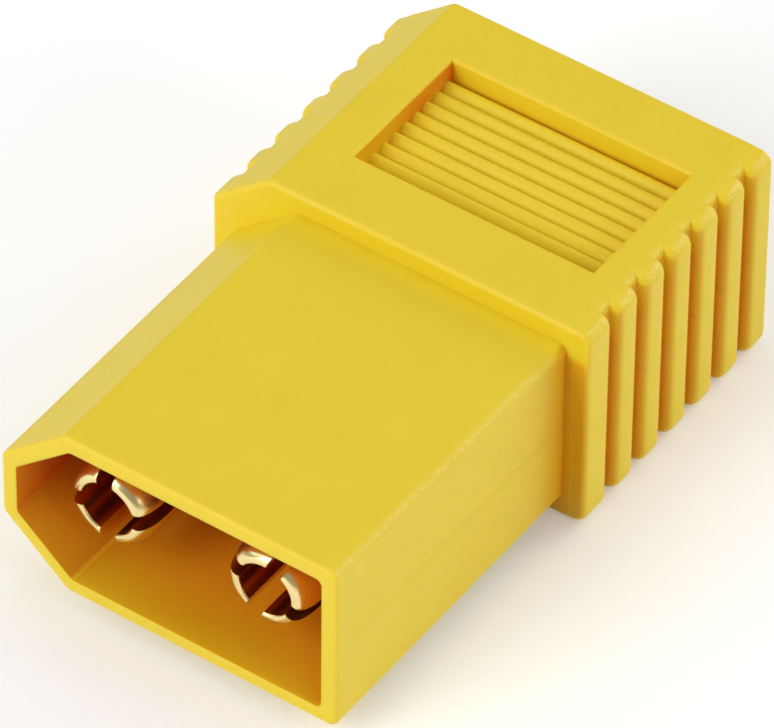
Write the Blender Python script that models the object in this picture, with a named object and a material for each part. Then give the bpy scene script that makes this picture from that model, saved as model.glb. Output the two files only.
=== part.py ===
"""Two-pole battery connector adapter, in metres.

One moulding carries two split bullet pins in a keyed shroud at the front (-Y) and a two-slot
socket, one slot lying flat and one upright, at the rear (+Y). +X is the square side, -X the side
with the two key chamfers, +Z is up. The origin is under the middle of the whole part, at the
height of the grip's underside.
"""

import math

import bmesh
import bpy
from mathutils import Matrix, Vector

MM = 0.001

# Shroud round the pins
SHROUD_WIDTH = 15.9 * MM
SHROUD_HEIGHT = 8.4 * MM
SHROUD_LENGTH = 15.35 * MM
SHROUD_WALL = 0.72 * MM
SHROUD_KEY_X = 3.05 * MM
SHROUD_KEY_Z = 2.67 * MM
SHROUD_CORNER = 0.4 * MM
RIM_EDGE = 0.18 * MM
CAVITY_DEPTH = 10.0 * MM
CAVITY_CORNER = 0.3 * MM

# Grip block behind the shroud, and how far it stands out beyond it
GRIP_STEP_X = 1.05 * MM
GRIP_STEP_Z = 0.95 * MM
GRIP_LENGTH = 12.95 * MM
GRIP_KEY_X = 2.75 * MM
GRIP_KEY_Z = 2.28 * MM
GRIP_CORNER = 0.55 * MM
KEY_CORNER = 0.35 * MM
GRIP_EDGE = 0.24 * MM

# Finger ribs down the two side faces of the grip, rolled over at their edges and ends
GROOVE_COUNT = 6
GROOVE_PITCH = 1.885 * MM
FIRST_GROOVE = 1.91 * MM
GROOVE_FLOOR = 0.26 * MM
RIB_CREST = 0.38 * MM
RIB_FILLET = 0.12 * MM
RIB_STEPS = 3
CORE_CORNER = 0.45 * MM
CORE_PROUD = 0.015 * MM

# Recess in the top and in the underside of the grip
RECESS_WIDTH = 11.4 * MM
RECESS_LENGTH = 6.8 * MM
RECESS_DEPTH = 1.15 * MM
RECESS_DRAFT = 0.08
RECESS_EDGE = 0.2 * MM
RECESS_EDGE_BACK = 0.006 * MM
RECESS_FROM_SHOULDER = 3.22 * MM
RECESS_FROM_MIDDLE = 1.3 * MM
RIDGE_COUNT = 9
RIDGE_HEIGHT = 0.32 * MM

# Bullet pins: the split nose, the collars that the web holds, and the solder cup
PIN_PITCH = 7.5 * MM
PIN_RADIUS = 1.75 * MM
PIN_RECESS = 1.1 * MM
NOSE_TIP_RADIUS = 1.48 * MM
NOSE_RADIUS = 1.94 * MM
NOSE_LENGTH = 1.3 * MM
NOSE_INNER_EDGE = 0.12 * MM
BULGE_RADIUS = 1.96 * MM
BULGE_AT = 2.4 * MM
WAIST_RADIUS = 1.6 * MM
WAIST_BEFORE_SPLIT_END = 1.2 * MM
WAIST_AFTER_SPLIT_END = 0.4 * MM
WAIST_TAPER = 0.8 * MM
PIN_BORE_RADIUS = 1.22 * MM
PIN_BORE_CONE = 0.6 * MM
SPLIT_WIDTH = 0.76 * MM
SPLIT_END_TO_WEB = 2.3 * MM
POSITIVE_ROLL = math.radians(-20)
NEGATIVE_ROLL = math.radians(3)
COLLAR_STEP = 0.4 * MM
COLLAR_LENGTH = 0.7 * MM
COLLAR_INSIDE_WEB = 0.6 * MM
RETAINING_GROOVE = 0.8 * MM
CUP_WALL = 0.55 * MM
CUP_LENGTH = 3.8 * MM
CUP_BORE_RADIUS = 1.4 * MM
CUP_BORE_DEPTH = 2.8 * MM

# Rear socket: the mating blade, the contact strip under it and the leaf over it
BLADE_THICKNESS = 0.9 * MM
STRIP_WIDTH = 5.0 * MM
STRIP_THICKNESS = 0.9 * MM
STRIP_RECESS = 0.7 * MM
STRIP_FLARE = 0.8 * MM
TAIL_WIDTH = 1.7 * MM
TAIL_IN_CUP = 2.0 * MM
JOGGLE_LENGTH = 2.2 * MM
SLOT_SIDE_ROOM = 0.3 * MM
SLOT_LEAF_ROOM = 0.6 * MM
SLOT_CORNER = 0.3 * MM
SLOT_LEAD_IN = 0.3 * MM
LEAF_SIDE_MARGIN = 0.3 * MM
LEAF_THICKNESS = 0.25 * MM
LEAF_FRONT_ROOM = 1.1 * MM
LEAF_RECESS = 1.0 * MM
LEAF_BITE = 0.4 * MM
SOLDER_DOME = 0.35 * MM
CHANNEL_INTO_SLOT = 0.5 * MM

# Fits and resolution
METAL_CLEARANCE = 0.05 * MM
OVERCUT = 1.0 * MM
CORNER_STEPS = 5
TURN_STEPS = 40
LEAF_STEPS = 24
RIDGE_STEPS = 8
SMALLEST_RADIUS = 0.03 * MM
MERGE_DISTANCE = 0.0003 * MM
SMOOTH_ANGLE = math.radians(32)

# The moulding's own sizes, with y counted from the middle of the length
GRIP_WIDTH = SHROUD_WIDTH + 2 * GRIP_STEP_X
GRIP_HEIGHT = SHROUD_HEIGHT + 2 * GRIP_STEP_Z
RIB_HEIGHT = RIB_CREST + RIB_FILLET
TOTAL_LENGTH = SHROUD_LENGTH + GRIP_LENGTH
MOUTH_Y = -TOTAL_LENGTH / 2
SHOULDER_Y = MOUTH_Y + SHROUD_LENGTH
RECESS_MIDDLE_Y = SHOULDER_Y + RECESS_FROM_SHOULDER + RECESS_LENGTH / 2
REAR_Y = TOTAL_LENGTH / 2
AXIS_Z = GRIP_HEIGHT / 2

# Stations along a pin, counted from its tip
WEB_AT = CAVITY_DEPTH - PIN_RECESS
SPLIT_END = WEB_AT - SPLIT_END_TO_WEB
WAIST_START = SPLIT_END - WAIST_BEFORE_SPLIT_END
WAIST_END = SPLIT_END + WAIST_AFTER_SPLIT_END
BORE_END = SPLIT_END + PIN_BORE_CONE
FIRST_COLLAR = WEB_AT + COLLAR_INSIDE_WEB
SECOND_COLLAR = FIRST_COLLAR + COLLAR_LENGTH + RETAINING_GROOVE
CUP_START = SECOND_COLLAR + COLLAR_LENGTH
PIN_LENGTH = CUP_START + CUP_LENGTH
COLLAR_RADIUS = PIN_RADIUS + COLLAR_STEP
CUP_RADIUS = CUP_BORE_RADIUS + CUP_WALL
PIN_TIP_Y = MOUTH_Y + PIN_RECESS
CUP_MOUTH_Y = PIN_TIP_Y + PIN_LENGTH

# The rear slots, sized round what lies in them
SLOT_END_Y = CUP_MOUTH_Y + JOGGLE_LENGTH
SLOT_WIDTH = STRIP_WIDTH + 2 * SLOT_SIDE_ROOM
SLOT_HEIGHT = STRIP_THICKNESS + BLADE_THICKNESS + SLOT_LEAF_ROOM
STRIP_OFFSET = SLOT_HEIGHT / 2 - METAL_CLEARANCE - STRIP_THICKNESS / 2
LEAF_WIDTH = STRIP_WIDTH - 2 * LEAF_SIDE_MARGIN
LEAF_LENGTH = REAR_Y - LEAF_RECESS - SLOT_END_Y - LEAF_FRONT_ROOM


def clear_scene():
    for item in list(bpy.data.objects):
        bpy.data.objects.remove(item)


def plain_material(name, colour, roughness, metallic):
    material = bpy.data.materials.new(name)
    material.use_nodes = True
    shader = material.node_tree.nodes["Principled BSDF"]
    shader.inputs["Base Color"].default_value = (*colour, 1.0)
    shader.inputs["Roughness"].default_value = roughness
    shader.inputs["Metallic"].default_value = metallic
    return material


def object_from(name, mesh, material=None):
    """A smooth-shaded object that holds the bmesh, with its hard edges kept."""
    bmesh.ops.recalc_face_normals(mesh, faces=mesh.faces)
    data = bpy.data.meshes.new(name)
    mesh.to_mesh(data)
    mesh.free()
    data.shade_smooth()
    data.set_sharp_from_angle(angle=SMOOTH_ANGLE)
    if material:
        data.materials.append(material)
    made = bpy.data.objects.new(name, data)
    bpy.context.scene.collection.objects.link(made)
    return made


def combine(target, helper, operation):
    """Joins or cuts the target with a helper object, which is then only a guide."""
    boolean = target.modifiers.new(helper.name, "BOOLEAN")
    boolean.operation = operation
    boolean.solver = "EXACT"
    boolean.object = helper
    helper.hide_render = True
    helper.display_type = "WIRE"


def rounded(corners, radii):
    """A convex outline with an arc at each corner."""
    points = []
    for index, corner in enumerate(corners):
        back = (corners[index - 1] - corner).normalized()
        ahead = (corners[(index + 1) % len(corners)] - corner).normalized()
        half_angle = back.angle(ahead) / 2
        reach = radii[index] / math.tan(half_angle)
        centre = corner + (back + ahead).normalized() * radii[index] / math.sin(half_angle)
        first = corner + back * reach - centre
        last = corner + ahead * reach - centre
        for step in range(CORNER_STEPS + 1):
            spoke = first.lerp(last, step / CORNER_STEPS).normalized()
            points.append(centre + spoke * radii[index])
    return points


def inset(corners, distance):
    """A convex counterclockwise outline whose sides have moved inwards."""
    moved = []
    for index, corner in enumerate(corners):
        back = (corner - corners[index - 1]).normalized()
        ahead = (corners[(index + 1) % len(corners)] - corner).normalized()
        normals = Vector((-back.y, back.x)), Vector((-ahead.y, ahead.x))
        share = distance / (1 + normals[0].dot(normals[1]))
        moved.append(corner + (normals[0] + normals[1]) * share)
    return moved


def rectangle(width, height):
    right = width / 2
    top = height / 2
    return [Vector(xz) for xz in ((right, -top), (right, top), (-right, top), (-right, -top))]


def keyed(width, height, key_x, key_z):
    """A rectangle whose two corners on the -X side are cut off."""
    right = width / 2
    top = height / 2
    return [
        Vector((right, -top)),
        Vector((right, top)),
        Vector((key_x - right, top)),
        Vector((-right, top - key_z)),
        Vector((-right, key_z - top)),
        Vector((key_x - right, -top)),
    ]


def ring_at(outline, y, x=0.0, z=0.0):
    return [Vector((point.x + x, y, point.y + z)) for point in outline]


def loft(rings, mesh=None):
    """A closed body through rings of equally many points, with a flat cap at each end."""
    mesh = mesh or bmesh.new()
    loops = [[mesh.verts.new(point) for point in ring] for ring in rings]
    for lower, upper in zip(loops, loops[1:]):
        for index in range(len(lower)):
            mesh.faces.new((lower[index - 1], lower[index], upper[index], upper[index - 1]))
    mesh.faces.new(loops[0][::-1])
    mesh.faces.new(loops[-1])
    return mesh


def rounded_end(radius):
    """(distance from the end face, inset) pairs that round an end over."""
    angles = [step / CORNER_STEPS * math.pi / 2 for step in range(CORNER_STEPS + 1)]
    return [(radius * (1 - math.cos(a)), radius * (1 - math.sin(a))) for a in angles]


def keyed_body(corners, radii, stations, mesh=None):
    """A lengthwise body: stations are (y, inset) pairs."""
    rings = []
    for y, distance in stations:
        radii_here = [max(radius - distance, SMALLEST_RADIUS) for radius in radii]
        rings.append(ring_at(rounded(inset(corners, distance), radii_here), y, z=AXIS_Z))
    return loft(rings, mesh)


def turned(profile):
    """A body turned about Y from (y, radius) points that start and end on the axis."""
    mesh = bmesh.new()
    points = [mesh.verts.new((radius, y, 0)) for y, radius in profile]
    edges = [mesh.edges.new(pair) for pair in zip(points, points[1:])]
    bmesh.ops.spin(
        mesh,
        geom=points + edges,
        axis=(0, 1, 0),
        cent=(0, 0, 0),
        angle=2 * math.pi,
        steps=TURN_STEPS,
        use_merge=True,
    )
    bmesh.ops.remove_doubles(mesh, verts=mesh.verts, dist=MERGE_DISTANCE)
    return mesh


def shroud_corners():
    return keyed(SHROUD_WIDTH, SHROUD_HEIGHT, SHROUD_KEY_X, SHROUD_KEY_Z)


def shroud_body():
    radii = [SHROUD_CORNER] * 2 + [KEY_CORNER] * 4
    stations = [(MOUTH_Y + depth, distance) for depth, distance in rounded_end(RIM_EDGE)]
    stations.append((SHOULDER_Y + OVERCUT, 0.0))
    return keyed_body(shroud_corners(), radii, stations)


def shroud_cavity():
    corners = inset(shroud_corners(), SHROUD_WALL)
    floor_y = MOUTH_Y + CAVITY_DEPTH
    return keyed_body(corners, [CAVITY_CORNER] * 6, [(MOUTH_Y - OVERCUT, 0.0), (floor_y, 0.0)])


def grip_core():
    """The block inside the ribs: as high as the grip, and as wide as the grooves' floors."""
    key_x = GRIP_KEY_X - RIB_HEIGHT
    key_z = GRIP_KEY_Z * key_x / GRIP_KEY_X
    corners = keyed(GRIP_WIDTH - 2 * RIB_HEIGHT, GRIP_HEIGHT, key_x, key_z)
    end = rounded_end(GRIP_EDGE)
    stations = [(SHOULDER_Y + depth, distance) for depth, distance in end]
    stations += [(REAR_Y - depth, distance) for depth, distance in reversed(end)]
    return keyed_body(corners, [CORE_CORNER] * 2 + [KEY_CORNER] * 4, stations)


def rib_foot():
    """(distance from the groove's floor, inset): the fillet, then the rolled-over crest."""
    fillet = []
    crest = []
    for step in range(RIB_STEPS + 1):
        angle = step / RIB_STEPS * math.pi / 2
        fall = RIB_FILLET * (1 - math.cos(angle))
        fillet.append((RIB_FILLET * math.sin(angle), RIB_HEIGHT + CORE_PROUD - fall))
        run = RIB_CREST * (1 - math.cos(angle))
        crest.append((RIB_FILLET + run, RIB_CREST * (1 - math.sin(angle))))
    return fillet + crest


def grip_rib(mesh, start_y, end_y, start, end):
    """Adds one slab of the grip's full width, a touch lower than the core."""
    proud = CORE_PROUD
    corners = keyed(GRIP_WIDTH, GRIP_HEIGHT - 2 * proud, GRIP_KEY_X + proud, GRIP_KEY_Z)
    radii = [GRIP_CORNER] * 2 + [KEY_CORNER] * 4
    stations = [(start_y + depth, distance) for depth, distance in start]
    stations += [(end_y - depth, distance) for depth, distance in reversed(end)]
    keyed_body(corners, radii, stations, mesh)


def grip_ribs():
    """The ribs between the grooves, with the grip's own ends before the first and after the last."""
    mesh = bmesh.new()
    end = rounded_end(GRIP_EDGE)
    foot = rib_foot()
    start_y = SHOULDER_Y + CORE_PROUD
    for index in range(GROOVE_COUNT):
        groove_y = SHOULDER_Y + FIRST_GROOVE + index * GROOVE_PITCH
        grip_rib(mesh, start_y, groove_y - GROOVE_FLOOR / 2, foot if index else end, foot)
        start_y = groove_y + GROOVE_FLOOR / 2
    grip_rib(mesh, start_y, REAR_Y - CORE_PROUD, foot, end)
    return mesh


def ridged_recess(face):
    """A cutter with sloping walls for the recess in the top (face 1) or the underside (face -1)."""
    surface = GRIP_HEIGHT / 2
    floor = surface - RECESS_DEPTH
    outside = surface + OVERCUT
    half_length = RECESS_LENGTH / 2
    half_floor = half_length - RECESS_DRAFT * RECESS_DEPTH
    half_outside = half_length + RECESS_DRAFT * OVERCUT
    outline = []
    for step in range(RIDGE_COUNT * RIDGE_STEPS + 1):
        turns = step / RIDGE_STEPS
        wave = abs(math.sin(math.pi * turns))
        outline.append((half_floor * (2 * turns / RIDGE_COUNT - 1), floor + RIDGE_HEIGHT * wave))
    outline.append((half_outside, outside))
    outline.append((-half_outside, outside))
    rings = []
    for side in (-1, 1):
        ring = []
        for y, z in outline:
            half_width = RECESS_WIDTH / 2 + RECESS_DRAFT * (z - surface)
            x = RECESS_FROM_MIDDLE + side * half_width
            ring.append(Vector((x, RECESS_MIDDLE_Y + y, AXIS_Z + face * z)))
        rings.append(ring)
    return loft(rings)


def recess_rim(face):
    """A cutter that rounds over the recess's edges, set back so that it crosses the walls."""
    levels = [(-OVERCUT, RECESS_EDGE)]
    levels += rounded_end(RECESS_EDGE)
    levels.append((2 * RECESS_EDGE, -RECESS_EDGE))
    rings = []
    for depth, growth in levels:
        wider = 2 * (growth - RECESS_EDGE_BACK - RECESS_DRAFT * depth)
        outline = rectangle(RECESS_WIDTH + wider, RECESS_LENGTH + wider)
        z = AXIS_Z + face * (GRIP_HEIGHT / 2 - depth)
        middle = Vector((RECESS_FROM_MIDDLE, RECESS_MIDDLE_Y, z))
        rings.append([middle + point.to_3d() for point in outline])
    return loft(rings)


def nose_profile():
    """The rounded nose: the bore's broken edge, the tip, and back to where the petals bulge."""
    inner = []
    outer = []
    for step in range(CORNER_STEPS + 1):
        angle = step / CORNER_STEPS * math.pi / 2
        rise = math.sin(angle)
        run = 1 - math.cos(angle)
        inner.append((NOSE_INNER_EDGE * (1 - rise), PIN_BORE_RADIUS + NOSE_INNER_EDGE * run))
        outer.append((NOSE_LENGTH * run, NOSE_TIP_RADIUS + (NOSE_RADIUS - NOSE_TIP_RADIUS) * rise))
    return inner + outer


def shank_profile(gap=0.0):
    """Stem, collars, retaining groove and cup outside, grown by gap, as (distance, radius)."""
    stem = PIN_RADIUS + gap
    collar = COLLAR_RADIUS + gap
    groove_start = FIRST_COLLAR + COLLAR_LENGTH + gap
    return [
        (FIRST_COLLAR - gap, stem),
        (FIRST_COLLAR - gap, collar),
        (groove_start, collar),
        (groove_start, stem),
        (SECOND_COLLAR - gap, stem),
        (SECOND_COLLAR - gap, collar),
        (CUP_START + gap, collar),
        (CUP_START + gap, CUP_RADIUS + gap),
    ]


def pin_profile():
    cup_floor = PIN_LENGTH - CUP_BORE_DEPTH
    bore = [(BORE_END, 0.0), (SPLIT_END, PIN_BORE_RADIUS)]
    petals = nose_profile() + [(BULGE_AT, BULGE_RADIUS), (WAIST_START, WAIST_RADIUS)]
    neck = [(WAIST_END, WAIST_RADIUS), (WAIST_END + WAIST_TAPER, PIN_RADIUS)]
    cup = [(PIN_LENGTH, CUP_RADIUS), (PIN_LENGTH, CUP_BORE_RADIUS)]
    cup += [(cup_floor, CUP_BORE_RADIUS), (cup_floor, 0.0)]
    return bore + petals + neck + shank_profile() + cup


def box(mesh, low, high):
    corners = [(low[0], low[2]), (high[0], low[2]), (high[0], high[2]), (low[0], high[2])]
    loft([[Vector((x, y, z)) for x, z in corners] for y in (low[1], high[1])], mesh)


def split_cross():
    """Two crossed saw cuts that part the pin's nose into four petals."""
    first = bmesh.new()
    half = SPLIT_WIDTH / 2
    reach = BULGE_RADIUS + OVERCUT
    box(first, (-half, -OVERCUT, -reach), (half, SPLIT_END, reach))
    second = bmesh.new()
    box(second, (-reach, -OVERCUT, -half), (reach, SPLIT_END, half))
    return first, second


def bullet_pin(name, x, roll, material):
    pin = object_from(name, turned(pin_profile()), material)
    place = Matrix.Translation((x, PIN_TIP_Y, AXIS_Z)) @ Matrix.Rotation(-roll, 4, "Y")
    pin.matrix_world = place
    for index, cut in enumerate(split_cross()):
        saw = object_from(f"{name}_saw_{index}", cut)
        saw.matrix_world = place
        combine(pin, saw, "DIFFERENCE")
    return pin


def pin_channel(name, x):
    """The channel that the pin's shank fills, open to the cavity and to the slot behind it."""
    start = WEB_AT - OVERCUT
    end = PIN_LENGTH + JOGGLE_LENGTH + CHANNEL_INTO_SLOT
    gap = METAL_CLEARANCE
    profile = [(start, 0.0), (start, PIN_RADIUS + gap)]
    profile += shank_profile(gap)
    profile += [(end, CUP_RADIUS + gap), (end, 0.0)]
    channel = object_from(name, turned(profile))
    channel.location = (x, PIN_TIP_Y, AXIS_Z)
    return channel


def pole_frame(x, roll):
    """Placement of one rear pole, whose strip lies flat before the roll."""
    return Matrix.Translation((x, 0, AXIS_Z)) @ Matrix.Rotation(roll, 4, "Y")


def socket_slot(name, x, roll):
    corners = rectangle(SLOT_WIDTH, SLOT_HEIGHT)
    stations = [(SLOT_END_Y, 0.0), (REAR_Y - SLOT_LEAD_IN, 0.0), (REAR_Y, -SLOT_LEAD_IN)]
    stations.append((REAR_Y + OVERCUT, -SLOT_LEAD_IN - OVERCUT))
    radii = [SLOT_CORNER] * 4
    rings = [ring_at(rounded(inset(corners, distance), radii), y) for y, distance in stations]
    slot = object_from(name, loft(rings))
    slot.matrix_world = pole_frame(x, roll)
    return slot


def contact_strip(name, x, roll, material):
    """A folded strip: tail on the pin's axis, joggle, and the wide contact blade in the slot."""
    blade_start = SLOT_END_Y + METAL_CLEARANCE
    joggle_start = CUP_MOUTH_Y + SOLDER_DOME + METAL_CLEARANCE
    blade_end = REAR_Y - STRIP_RECESS
    stations = [
        (CUP_MOUTH_Y - TAIL_IN_CUP, TAIL_WIDTH, 0.0),
        (joggle_start, TAIL_WIDTH, 0.0),
        (blade_start, TAIL_WIDTH, -STRIP_OFFSET),
        (blade_start + STRIP_FLARE, STRIP_WIDTH, -STRIP_OFFSET),
        (blade_end, STRIP_WIDTH, -STRIP_OFFSET),
    ]
    rings = []
    for y, width, middle_z in stations:
        rings.append(ring_at(rectangle(width, STRIP_THICKNESS), y, z=middle_z))
    strip = object_from(name, loft(rings), material)
    strip.matrix_world = pole_frame(x, roll)
    return strip


def leaf_spring(name, x, roll, material):
    """A leaf on the far wall of the slot, arched towards the strip so that it bites the blade."""
    top = SLOT_HEIGHT / 2 - METAL_CLEARANCE - LEAF_THICKNESS / 2
    strip_face = STRIP_THICKNESS / 2 - STRIP_OFFSET
    lowest = strip_face + BLADE_THICKNESS - LEAF_BITE + LEAF_THICKNESS / 2
    end_y = REAR_Y - LEAF_RECESS
    rings = []
    for step in range(LEAF_STEPS + 1):
        share = step / LEAF_STEPS
        drop = (top - lowest) * (1 - math.cos(2 * math.pi * share)) / 2
        y = end_y - LEAF_LENGTH * (1 - share)
        rings.append(ring_at(rectangle(LEAF_WIDTH, LEAF_THICKNESS), y, z=top - drop))
    leaf = object_from(name, loft(rings), material)
    leaf.matrix_world = pole_frame(x, roll)
    return leaf


def solder_joint(name, x, roll, material):
    """Solder that fills the cup round the strip's tail and stands in a low dome at its mouth."""
    floor = PIN_LENGTH - CUP_BORE_DEPTH + METAL_CLEARANCE
    radius = CUP_BORE_RADIUS - METAL_CLEARANCE
    profile = [(floor, 0.0), (floor, radius)]
    for step in range(CORNER_STEPS + 1):
        angle = step / CORNER_STEPS * math.pi / 2
        height = PIN_LENGTH + SOLDER_DOME * math.sin(angle)
        profile.append((height, radius * math.cos(angle)))
    joint = object_from(name, turned(profile), material)
    joint.location = (x, PIN_TIP_Y, AXIS_Z)
    gap = METAL_CLEARANCE
    low_y = CUP_MOUTH_Y - TAIL_IN_CUP - gap
    half_width = TAIL_WIDTH / 2 + gap
    half_height = STRIP_THICKNESS / 2 + gap
    hole = bmesh.new()
    box(hole, (-half_width, low_y, -half_height), (half_width, SLOT_END_Y, half_height))
    tail_hole = object_from(f"{name}_tail_hole", hole)
    tail_hole.matrix_world = pole_frame(x, roll)
    combine(joint, tail_hole, "DIFFERENCE")
    return joint


def housing(poles, material):
    body = object_from("housing", grip_core(), material)
    combine(body, object_from("ribs_form", grip_ribs()), "UNION")
    combine(body, object_from("shroud_form", shroud_body()), "UNION")
    combine(body, object_from("shroud_cavity", shroud_cavity()), "DIFFERENCE")
    for name, face in (("top", 1), ("bottom", -1)):
        combine(body, object_from(f"{name}_recess", ridged_recess(face)), "DIFFERENCE")
        combine(body, object_from(f"{name}_rim", recess_rim(face)), "DIFFERENCE")
    for pole, x, slot_roll in poles:
        combine(body, pin_channel(f"{pole}_channel", x), "DIFFERENCE")
        combine(body, socket_slot(f"{pole}_slot", x, slot_roll), "DIFFERENCE")
    return body


def build():
    clear_scene()
    plastic = plain_material("yellow_plastic", (0.78, 0.58, 0.04), 0.38, 0.0)
    gold = plain_material("gold_plate", (0.83, 0.61, 0.25), 0.22, 1.0)
    steel = plain_material("spring_steel", (0.62, 0.6, 0.56), 0.3, 1.0)
    solder = plain_material("solder", (0.66, 0.66, 0.64), 0.35, 1.0)
    upright = math.pi / 2
    poles = [("positive", PIN_PITCH / 2, 0.0), ("negative", -PIN_PITCH / 2, upright)]
    pin_rolls = {"positive": POSITIVE_ROLL, "negative": NEGATIVE_ROLL}
    housing(poles, plastic)
    for pole, x, slot_roll in poles:
        bullet_pin(f"bullet_pin_{pole}", x, pin_rolls[pole], gold)
        contact_strip(f"socket_contact_{pole}", x, slot_roll, gold)
        leaf_spring(f"leaf_spring_{pole}", x, slot_roll, steel)
        solder_joint(f"solder_joint_{pole}", x, slot_roll, solder)


build()
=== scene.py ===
"""Yellow two-pole battery connector adapter on a white table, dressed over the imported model."""

import math

import bpy
from mathutils import Matrix, Vector


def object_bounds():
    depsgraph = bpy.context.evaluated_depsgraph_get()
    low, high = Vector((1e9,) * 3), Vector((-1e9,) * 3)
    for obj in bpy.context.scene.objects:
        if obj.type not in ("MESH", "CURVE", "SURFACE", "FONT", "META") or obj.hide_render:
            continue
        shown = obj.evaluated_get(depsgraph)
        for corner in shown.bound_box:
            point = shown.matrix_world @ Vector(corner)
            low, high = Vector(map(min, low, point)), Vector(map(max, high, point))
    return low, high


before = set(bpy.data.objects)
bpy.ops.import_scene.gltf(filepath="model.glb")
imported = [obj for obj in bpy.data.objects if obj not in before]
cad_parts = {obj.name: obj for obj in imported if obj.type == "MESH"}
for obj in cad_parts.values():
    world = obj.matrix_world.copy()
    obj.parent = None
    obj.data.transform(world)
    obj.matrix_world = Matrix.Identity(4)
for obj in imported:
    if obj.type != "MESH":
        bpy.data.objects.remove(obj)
cad_low, cad_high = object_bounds()

MM = 0.001

# The photograph's camera: where it looks from, and its frame
CAMERA_AZIMUTH = math.radians(34.655)
CAMERA_ELEVATION = math.radians(44.327)
CAMERA_ROLL = math.radians(0.633)
CAMERA_DISTANCE = 376.798 * MM
CAMERA_SIDE = -0.367 * MM
CAMERA_RISE = 0.175 * MM
CAMERA_LENS = 446.67
CAMERA_CLIP_START = 10 * MM
SENSOR_WIDTH = 36.0
TARGET_Y = -0.15 * MM

# Edge rounding that the solids leave out
WELD_DISTANCE = 0.0002 * MM
FLAT_ANGLE = math.radians(0.4)
SHARP_ANGLE = math.radians(34)
PLASTIC_EDGE = 0.07 * MM
METAL_EDGE = 0.04 * MM
EDGE_SEGMENTS = 2

# The plastic's colour, roughness, grain and scattering of light; a scale is in features per metre
PLASTIC_COLOURS = ((0.80, 0.60, 0.020), (0.84, 0.64, 0.026))
MOTTLE_SCALE = 420.0
PLASTIC_ROUGHNESS = (0.42, 0.52)
ROUGHNESS_SCALE = 900.0
WAVE_SCALE = 500.0
WAVE_HEIGHT = 0.02 * MM
GRAIN_SCALE = 9000.0
GRAIN_HEIGHT = 0.004 * MM
GRAIN_STRENGTH = 0.25
SCATTER_SHARE = 0.5
SCATTER_RADII = (1.0, 0.4, 0.1)
SCATTER_REACH = 0.4 * MM
PLASTIC_IOR = 1.52

# Mould parting line round the middle of the height
PARTING_HALF_WIDTH = 0.035 * MM
PARTING_HEIGHT = 0.02 * MM

# Edge rounding that the plastic's shading adds, from none to all of it as an edge lies more open
SHADED_EDGE = 0.17 * MM
SHADED_EDGE_SAMPLES = 6
OUTER_EDGE_OPEN = (0.75, 0.95)

# Painted highlight: pale specks on the rounded edges of the plastic's right side
PAINTED_HIGHLIGHT_COLOUR = (0.95, 0.86, 0.36)
HIGHLIGHT_SIDE = (6.5 * MM, 7.0 * MM)
HIGHLIGHT_TURN = (0.34, 0.48)
HIGHLIGHT_OPEN = (0.80, 0.97)
SPECK_SCALE = 9000.0
SPECK_NOISE = (0.45, 0.66)
HIGHLIGHT_STRENGTH = (0.05, 0.42)

# How far the plastic looks round itself for the painted shade of its hollows
HOLLOW_REACH = 12.0 * MM
HOLLOW_SAMPLES = 8

# The photograph's light, painted into that tint: what makes a place count as more or less open
FACING_UP_OPENS = 0.32
FACING_RIGHT_POWER = 2.0
HIGH_OPENS = 0.5
HIGH_HEIGHTS = (8.4 * MM, 9.2 * MM)
HIGH_SIDEWAYS = (0.2, 0.7)
LIT_CORNER = Vector((-7.5, 1.2, 8.0)) * MM
LIT_CORNER_OPENS = 0.55
LIT_CORNER_REACH = (4.5 * MM, 8.0 * MM)

# Painted shade: the plastic is multiplied by these tints, darker and more orange the deeper a place
# lies
# The tints from deep to open, set from how a render's colours differed from the photograph's:
# how open a place is, and the colour to multiply the plastic by there
PAINTED_SHADE_TINTS = (
    (0.17, (0.92, 0.24, 0.30)),
    (0.30, (0.86, 0.50, 0.40)),
    (0.50, (0.92, 0.66, 0.42)),
    (0.62, (0.88, 0.64, 0.36)),
    (0.80, (0.96, 0.70, 0.40)),
    (0.93, (1.00, 1.00, 1.00)),
)
CAVITY_PAINTED_SHADE_TINTS = (
    (0.05, (0.80, 0.12, 0.45)),
    (0.17, (0.98, 0.15, 0.50)),
    (0.34, (0.95, 0.41, 0.50)),
    (0.53, (1.15, 0.62, 0.55)),
    (0.69, (0.92, 0.56, 0.45)),
    (0.83, (1.00, 0.74, 0.42)),
    (0.95, (1.00, 1.00, 1.00)),
)

# Where the cavity's painted-shade tints give way to the others, from front to rear
CAVITY_ENDS = (-4.5 * MM, -3.5 * MM)

# The gloss is lower in the hollows
GLOSS_OPEN = (0.6, 0.95)
GLOSS = (0.15, 0.42)

# The gold, whose inside faces mirror the shaded cavity; that shade is painted on, darker in its hollows
GOLD_COLOURS = ((0.86, 0.70, 0.30), (0.92, 0.77, 0.38))
GOLD_CLOUD_SCALE = 700.0
GOLD_ROUGHNESS = (0.20, 0.28)
GOLD_SMEAR_SCALE = 1500.0
GOLD_REACH = 3.0 * MM
# Painted shade on the gold: how open a place is, and the colour to multiply it by there
GOLD_PAINTED_SHADE_TINTS = (
    (0.10, (0.50, 0.15, 0.08)),
    (0.55, (0.75, 0.45, 0.25)),
    (0.85, (1.00, 1.00, 1.00)),
)
TURNING_MARK_SCALE = 4000.0
TURNING_MARK_DISTORTION = 1.5
TURNING_MARK_STRENGTH = 0.1
TURNING_MARK_HEIGHT = 0.002 * MM

# Grey metals: two colours, roughness, and the scale of their clouding
SPRING_STEEL = (((0.55, 0.54, 0.51), (0.68, 0.67, 0.64)), (0.20, 0.32), 900.0)
DULL_SOLDER = (((0.55, 0.55, 0.54), (0.72, 0.72, 0.70)), (0.28, 0.45), 1400.0)

# The middle range of a noise, which a roughness is spread over
NOISE_RANGE = (0.3, 0.7)

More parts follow.
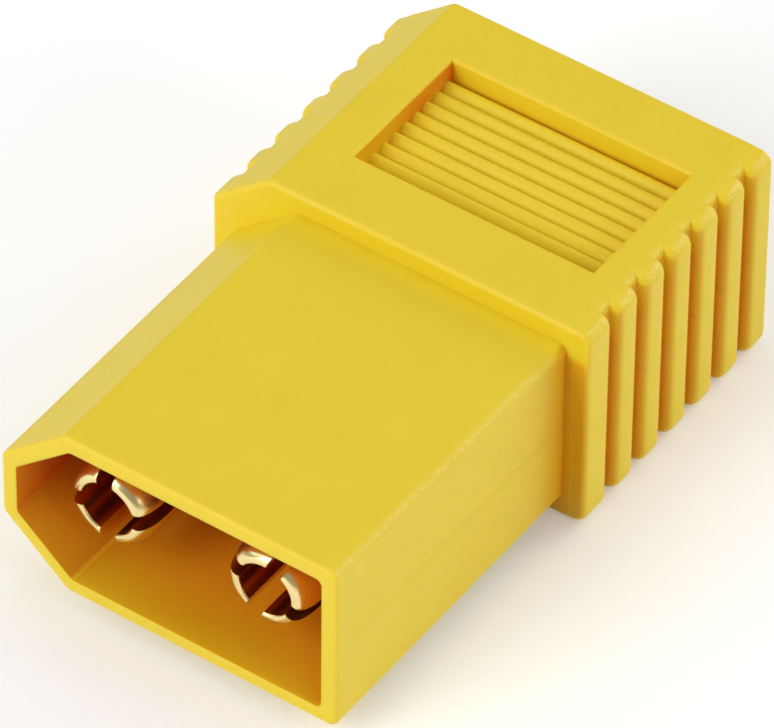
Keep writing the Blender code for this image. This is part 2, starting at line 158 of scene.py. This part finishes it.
# Studio, in metres; a lamp has a place, a size and a power in watts, fitted to the photograph's shades
FLOOR_SIZE = 2.0
FLOOR_COLOUR = (0.93, 0.93, 0.93)
FLOOR_ROUGHNESS = 0.6
FLOOR_LIFT = 0.17
WORLD_STRENGTH = 0.35
WHITE = (1.0, 1.0, 1.0)
LAMP_AIM = Vector((0.0, 0.0, 5.0)) * MM
LAMPS = {
    "top": ((-0.05, 0.10, 0.45), (0.35, 0.35), 0.29),
    "key": ((-0.14, -0.40, 0.30), (0.25, 0.25), 1.04),
    "front": ((-0.20, -0.46, 0.10), (0.25, 0.20), 0.34),
    "left": ((-0.40, -0.20, 0.30), (0.30, 0.30), 0.28),
    "right": ((0.45, 0.00, 0.20), (0.30, 0.20), 0.57),
    "rear": ((0.15, 0.45, 0.20), (0.30, 0.20), 0.82),
}


def new_material(name):
    """A new material with its node tree and its shader."""
    material = bpy.data.materials.new(name)
    material.use_nodes = True
    tree = material.node_tree
    tree.nodes.clear()
    output = tree.nodes.new("ShaderNodeOutputMaterial")
    shader = tree.nodes.new("ShaderNodeBsdfPrincipled")
    tree.links.new(shader.outputs["BSDF"], output.inputs["Surface"])
    return material, tree, shader


def add_node(tree, kind, **settings):
    node = tree.nodes.new(kind)
    for key, value in settings.items():
        setattr(node, key, value)
    return node


def feed(tree, socket, source):
    """Links a socket to another socket, or sets it to a value."""
    if isinstance(source, bpy.types.NodeSocket):
        tree.links.new(source, socket)
    else:
        socket.default_value = source


def opaque(colour):
    return (*colour, 1.0)


def own_place(tree):
    """The position in the piece's own axes."""
    return add_node(tree, "ShaderNodeTexCoord").outputs["Object"]


def noise(tree, place, scale, detail):
    texture = add_node(tree, "ShaderNodeTexNoise")
    texture.inputs["Scale"].default_value = scale
    texture.inputs["Detail"].default_value = detail
    tree.links.new(place, texture.inputs["Vector"])
    return texture.outputs["Fac"]


def value_range(tree, value, given, wanted):
    """Maps the first pair of values to the second pair, and stays within it."""
    mapped = add_node(tree, "ShaderNodeMapRange")
    mapped.inputs["From Min"].default_value, mapped.inputs["From Max"].default_value = given
    mapped.inputs["To Min"].default_value, mapped.inputs["To Max"].default_value = wanted
    tree.links.new(value, mapped.inputs["Value"])
    return mapped.outputs["Result"]


def arithmetic(tree, operation, first, second=0.0):
    node = add_node(tree, "ShaderNodeMath", operation=operation)
    feed(tree, node.inputs[0], first)
    feed(tree, node.inputs[1], second)
    return node.outputs["Value"]


def product(tree, *values):
    result = values[0]
    for value in values[1:]:
        result = arithmetic(tree, "MULTIPLY", result, value)
    return result


def axes(tree, vector):
    """The X, Y and Z of a vector."""
    split = add_node(tree, "ShaderNodeSeparateXYZ")
    tree.links.new(vector, split.inputs["Vector"])
    return [split.outputs[axis] for axis in "XYZ"]


def surface_normal(tree):
    return add_node(tree, "ShaderNodeNewGeometry").outputs["Normal"]


def mixed(tree, factor, first, second, kind="RGBA", blend="MIX"):
    """The first colour or vector where the factor is none, the second where it is one."""
    mix = add_node(tree, "ShaderNodeMix", data_type=kind, blend_type=blend)
    feed(tree, mix.inputs["Factor"], factor)
    feed(tree, mix.inputs["A"], first)
    feed(tree, mix.inputs["B"], second)
    return mix.outputs["Result"]


def multiplied(tree, first, second):
    return mixed(tree, 1.0, first, second, blend="MULTIPLY")


def clouded(tree, cloud, colours):
    """The first of two colours drifting into the second, as the cloud's noise rises."""
    first, second = colours
    return mixed(tree, cloud, opaque(first), opaque(second))


def bumps(tree, heights, normal=None):
    """Chains bumps of (height socket, strength, distance) into one normal."""
    for height, strength, distance in heights:
        bump = add_node(tree, "ShaderNodeBump")
        bump.inputs["Strength"].default_value = strength
        bump.inputs["Distance"].default_value = distance
        tree.links.new(height, bump.inputs["Height"])
        if normal:
            tree.links.new(normal, bump.inputs["Normal"])
        normal = bump.outputs["Normal"]
    return normal


def openness(tree, reach):
    """How much of its surroundings the surface sees past its own piece, from none to one."""
    depth = add_node(tree, "ShaderNodeAmbientOcclusion", samples=HOLLOW_SAMPLES, only_local=True)
    depth.inputs["Distance"].default_value = reach
    return depth.outputs["AO"]


def lit_by_the_studio(tree, seen, place):
    """Shifts the openness towards how the photograph's light falls.

    A surface counts as more open where it faces up, lies near the top or at the lit corner, and as
    deeper in a hollow that faces the shaded right side. This light is painted on, so it stays as it is
    when the lamps change.
    """
    facing_x, _, facing_z = axes(tree, surface_normal(tree))
    height = axes(tree, place)[2]
    power = value_range(tree, facing_x, (0.0, 1.0), (1.0, FACING_RIGHT_POWER))
    seen = arithmetic(tree, "POWER", seen, power)
    upward = value_range(tree, facing_z, (0.0, 1.0), (0.0, FACING_UP_OPENS))
    high = value_range(tree, height, HIGH_HEIGHTS, (0.0, HIGH_OPENS))
    sideways = arithmetic(tree, "ABSOLUTE", facing_x)
    high = product(tree, high, value_range(tree, sideways, HIGH_SIDEWAYS, (1.0, 0.0)))
    away = add_node(tree, "ShaderNodeVectorMath", operation="DISTANCE")
    away.inputs[1].default_value = LIT_CORNER
    tree.links.new(place, away.inputs[0])
    corner = value_range(tree, away.outputs["Value"], LIT_CORNER_REACH, (LIT_CORNER_OPENS, 0.0))
    for extra in (upward, high, corner):
        seen = arithmetic(tree, "ADD", seen, extra)
    return seen


def painted_shade_ramp(tree, seen, stops):
    """A painted-shade colour to multiply by, from how open the surface lies."""
    ramp = add_node(tree, "ShaderNodeValToRGB")
    elements = ramp.color_ramp.elements
    while len(elements) < len(stops):
        elements.new(1.0)
    for element, (position, tint) in zip(elements, stops):
        element.position = position
        element.color = opaque(tint)
    tree.links.new(seen, ramp.inputs["Fac"])
    return ramp.outputs["Color"]


def plastic_painted_shade(tree, open_share, place):
    """The painted shade to multiply the plastic by, in the cavity and everywhere else."""
    seen = lit_by_the_studio(tree, open_share, place)
    behind_cavity = value_range(tree, axes(tree, place)[1], CAVITY_ENDS, (0.0, 1.0))
    cavity_shade = painted_shade_ramp(tree, seen, CAVITY_PAINTED_SHADE_TINTS)
    other_shade = painted_shade_ramp(tree, seen, PAINTED_SHADE_TINTS)
    return mixed(tree, behind_cavity, cavity_shade, other_shade)


def parting_line(tree, place):
    """One at the mould's parting plane, falling to none on either side."""
    middle = (cad_low.z + cad_high.z) / 2
    above = arithmetic(tree, "SUBTRACT", axes(tree, place)[2], middle)
    return value_range(tree, arithmetic(tree, "ABSOLUTE", above), (0.0, PARTING_HALF_WIDTH), (1.0, 0.0))


def outer_edge_normal(tree, open_share):
    """The normal with sharp outer edges rounded over, and inner corners left as they are."""
    rounded = add_node(tree, "ShaderNodeBevel", samples=SHADED_EDGE_SAMPLES)
    rounded.inputs["Radius"].default_value = SHADED_EDGE
    outer = value_range(tree, open_share, OUTER_EDGE_OPEN, (0.0, 1.0))
    return mixed(tree, outer, surface_normal(tree), rounded.outputs["Normal"], kind="VECTOR")


def painted_edge_highlight(tree, open_share, place):
    """Painted highlight, pale and speckled, where a rounded edge of the right side turns up or to the
    rear.
    """
    facing_x, facing_y, facing_z = axes(tree, surface_normal(tree))
    upper = product(tree, facing_x, facing_z)
    rear = product(tree, facing_x, facing_y)
    turned = arithmetic(tree, "MAXIMUM", upper, rear)
    edge = value_range(tree, turned, HIGHLIGHT_TURN, (0.0, 1.0))
    outer = value_range(tree, open_share, HIGHLIGHT_OPEN, (0.0, 1.0))
    right_side = value_range(tree, axes(tree, place)[0], HIGHLIGHT_SIDE, (0.0, 1.0))
    specks = value_range(tree, noise(tree, place, SPECK_SCALE, detail=1.0), SPECK_NOISE, HIGHLIGHT_STRENGTH)
    return product(tree, edge, outer, right_side, specks)


def plastic_material():
    """Satin moulded nylon: slight mottling, fine grain and a soft gloss, with painted shade in its
    hollows and a painted highlight on the right side's rounded edges.
    """
    material, tree, shader = new_material("moulded_yellow_plastic")
    place = own_place(tree)
    open_share = openness(tree, HOLLOW_REACH)

    mottle = noise(tree, place, MOTTLE_SCALE, detail=3.0)
    colour = clouded(tree, mottle, PLASTIC_COLOURS)
    # Painted highlight: pale specks on the right side's rounded edges
    highlighted = mixed(tree, painted_edge_highlight(tree, open_share, place), colour, opaque(PAINTED_HIGHLIGHT_COLOUR))
    # Painted shade: the plastic is darkened and turned orange where it lies deep
    colour = multiplied(tree, highlighted, plastic_painted_shade(tree, open_share, place))
    tree.links.new(colour, shader.inputs["Base Color"])

    gloss = value_range(tree, open_share, GLOSS_OPEN, GLOSS)
    tree.links.new(gloss, shader.inputs["Specular IOR Level"])
    patches = noise(tree, place, ROUGHNESS_SCALE, detail=4.0)
    roughness = value_range(tree, patches, NOISE_RANGE, PLASTIC_ROUGHNESS)
    tree.links.new(roughness, shader.inputs["Roughness"])

    heights = (
        (noise(tree, place, WAVE_SCALE, detail=1.0), GRAIN_STRENGTH, WAVE_HEIGHT),
        (noise(tree, place, GRAIN_SCALE, detail=2.0), GRAIN_STRENGTH, GRAIN_HEIGHT),
        (parting_line(tree, place), 1.0, PARTING_HEIGHT),
    )
    normal = bumps(tree, heights, outer_edge_normal(tree, open_share))
    tree.links.new(normal, shader.inputs["Normal"])

    shader.inputs["Subsurface Weight"].default_value = SCATTER_SHARE
    shader.inputs["Subsurface Radius"].default_value = SCATTER_RADII
    shader.inputs["Subsurface Scale"].default_value = SCATTER_REACH
    shader.inputs["IOR"].default_value = PLASTIC_IOR
    return material


def gold_material():
    """Bright gold plating over turned brass, with faint turning marks round the pin and painted shade
    in its hollows.
    """
    material, tree, shader = new_material("bright_gold_plate")
    place = own_place(tree)
    cloud = noise(tree, place, GOLD_CLOUD_SCALE, detail=2.0)
    colour = clouded(tree, cloud, GOLD_COLOURS)
    # Painted shade: the gold is darkened where it lies deep
    painted_gold_shade = painted_shade_ramp(tree, openness(tree, GOLD_REACH), GOLD_PAINTED_SHADE_TINTS)
    tree.links.new(multiplied(tree, colour, painted_gold_shade), shader.inputs["Base Color"])
    smear = noise(tree, place, GOLD_SMEAR_SCALE, detail=3.0)
    roughness = value_range(tree, smear, NOISE_RANGE, GOLD_ROUGHNESS)
    tree.links.new(roughness, shader.inputs["Roughness"])
    marks = add_node(tree, "ShaderNodeTexWave", wave_type="BANDS", bands_direction="Y")
    marks.inputs["Scale"].default_value = TURNING_MARK_SCALE
    marks.inputs["Distortion"].default_value = TURNING_MARK_DISTORTION
    tree.links.new(place, marks.inputs["Vector"])
    normal = bumps(tree, ((marks.outputs["Fac"], TURNING_MARK_STRENGTH, TURNING_MARK_HEIGHT),))
    tree.links.new(normal, shader.inputs["Normal"])
    shader.inputs["Metallic"].default_value = 1.0
    return material


def grey_metal(name, colours, roughness, scale):
    """Grey metal with slight clouding, for the rolled leaf and the solder."""
    material, tree, shader = new_material(name)
    cloud = noise(tree, own_place(tree), scale, detail=3.0)
    tree.links.new(clouded(tree, cloud, colours), shader.inputs["Base Color"])
    tree.links.new(value_range(tree, cloud, NOISE_RANGE, roughness), shader.inputs["Roughness"])
    shader.inputs["Metallic"].default_value = 1.0
    return material


def soften(node, width):
    """Joins the facets of a CAD node, rounds its sharp edges and smooths what is curved."""
    weld = node.modifiers.new("weld", "WELD")
    weld.merge_threshold = WELD_DISTANCE
    flat = node.modifiers.new("flat_faces", "DECIMATE")
    flat.decimate_type = "DISSOLVE"
    flat.angle_limit = FLAT_ANGLE
    edge = node.modifiers.new("edge", "BEVEL")
    edge.limit_method = "ANGLE"
    edge.angle_limit = SHARP_ANGLE
    edge.width = width
    edge.segments = EDGE_SEGMENTS
    edge.use_clamp_overlap = True
    normals = node.modifiers.new("normals", "WEIGHTED_NORMAL")
    normals.mode = "FACE_AREA"
    normals.keep_sharp = False


def dress(node, material, width):
    node.data.materials.clear()
    node.data.materials.append(material)
    soften(node, width)


def dress_nodes():
    gold = gold_material()
    steel = grey_metal("bright_spring_steel", *SPRING_STEEL)
    solder = grey_metal("dull_solder", *DULL_SOLDER)
    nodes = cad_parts
    dress(nodes["housing"], plastic_material(), PLASTIC_EDGE)
    for pole in ("positive", "negative"):
        dress(nodes[f"bullet_pin_{pole}"], gold, METAL_EDGE)
        dress(nodes[f"socket_contact_{pole}"], gold, METAL_EDGE)
        dress(nodes[f"leaf_spring_{pole}"], steel, METAL_EDGE)
        dress(nodes[f"solder_joint_{pole}"], solder, METAL_EDGE)


def add_object(name, data):
    made = bpy.data.objects.new(name, data)
    bpy.context.scene.collection.objects.link(made)
    return made


def camera():
    towards = Vector((
        math.sin(CAMERA_AZIMUTH) * math.cos(CAMERA_ELEVATION),
        -math.cos(CAMERA_AZIMUTH) * math.cos(CAMERA_ELEVATION),
        math.sin(CAMERA_ELEVATION),
    ))
    level = Vector((math.cos(CAMERA_AZIMUTH), math.sin(CAMERA_AZIMUTH), 0.0))
    upright = towards.cross(level)
    right = math.cos(CAMERA_ROLL) * level + math.sin(CAMERA_ROLL) * upright
    up = math.cos(CAMERA_ROLL) * upright - math.sin(CAMERA_ROLL) * level
    target = Vector((0.0, TARGET_Y, (cad_low.z + cad_high.z) / 2))
    place = target + CAMERA_DISTANCE * towards - CAMERA_SIDE * right - CAMERA_RISE * up
    data = bpy.data.cameras.new("camera")
    data.lens = CAMERA_LENS
    data.sensor_width = SENSOR_WIDTH
    data.clip_start = CAMERA_CLIP_START
    made = add_object("camera", data)
    turn = Matrix((right, up, towards)).transposed().to_4x4()
    made.matrix_world = Matrix.Translation(place) @ turn
    bpy.context.scene.camera = made


def seen_directly(tree, strength):
    """The strength for rays from the camera, or mirrored or let through; none for other rays."""
    path = add_node(tree, "ShaderNodeLightPath")
    seen = path.outputs["Is Camera Ray"]
    for name in ("Is Glossy Ray", "Is Transmission Ray"):
        seen = arithmetic(tree, "MAXIMUM", seen, path.outputs[name])
    return value_range(tree, seen, (0.0, 1.0), (0.0, strength))


def floor():
    mesh = bpy.data.meshes.new("floor")
    half = FLOOR_SIZE / 2
    corners = [(-half, -half, 0.0), (half, -half, 0.0), (half, half, 0.0), (-half, half, 0.0)]
    mesh.from_pydata(corners, [], [(0, 1, 2, 3)])
    made = add_object("floor", mesh)
    made.location.z = cad_low.z
    material, tree, shader = new_material("white_table")
    shader.inputs["Base Color"].default_value = opaque(FLOOR_COLOUR)
    shader.inputs["Roughness"].default_value = FLOOR_ROUGHNESS
    shader.inputs["Emission Color"].default_value = opaque(WHITE)
    tree.links.new(seen_directly(tree, FLOOR_LIFT), shader.inputs["Emission Strength"])
    mesh.materials.append(material)


def softbox(name, place, size, power):
    data = bpy.data.lights.new(name, "AREA")
    data.shape = "RECTANGLE"
    data.size, data.size_y = size
    data.energy = power
    made = add_object(name, data)
    made.location = place
    facing = LAMP_AIM - Vector(place)
    made.rotation_euler = facing.to_track_quat("-Z", "Y").to_euler()


def studio():
    world = bpy.data.worlds.new("studio")
    world.use_nodes = True
    background = world.node_tree.nodes["Background"]
    background.inputs["Color"].default_value = opaque(WHITE)
    background.inputs["Strength"].default_value = WORLD_STRENGTH
    bpy.context.scene.world = world
    for name, (place, size, power) in LAMPS.items():
        softbox(name, place, size, power)


camera()
floor()
studio()
dress_nodes()
bpy.context.scene.view_settings.view_transform = "Standard"
